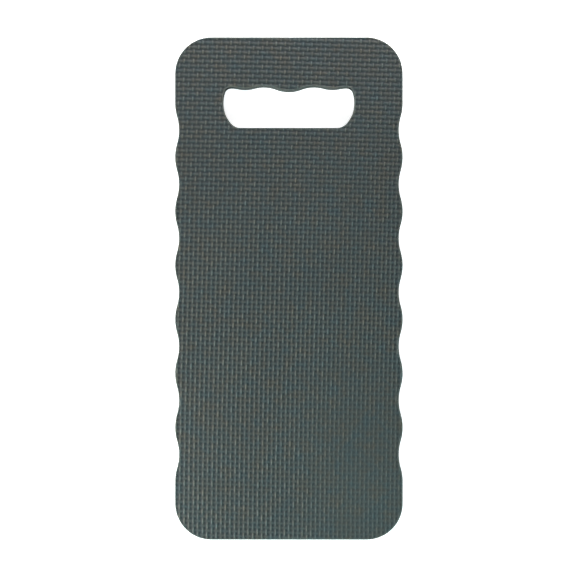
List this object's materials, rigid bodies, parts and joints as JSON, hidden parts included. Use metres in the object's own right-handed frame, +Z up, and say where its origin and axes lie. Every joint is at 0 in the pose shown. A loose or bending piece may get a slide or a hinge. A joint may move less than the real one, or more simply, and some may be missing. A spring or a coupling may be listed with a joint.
{
  "type": "kneeling pad",
  "caption": "Flat foam garden kneeling pad with scalloped long sides, a woven emboss and a hand slot with finger grips at one end.",
  "frame": {"origin": "centre of the underside, on the ground the pad lies on", "axes": "+Z up out of the kneeling face, +Y along the pad towards the hand slot, +X across it to the right"},
  "size_m": [0.1814, 0.4, 0.015],
  "materials": {
    "face_foam": "dark grey-green closed-cell EVA foam with a matt woven emboss",
    "core_foam": "dark grey-green closed-cell EVA foam, cut edge"
  },
  "bodies": {
    "root": {"bottom_ply": "face_foam", "middle_ply": "core_foam", "top_ply": "face_foam"}
  },
  "joints": []
}
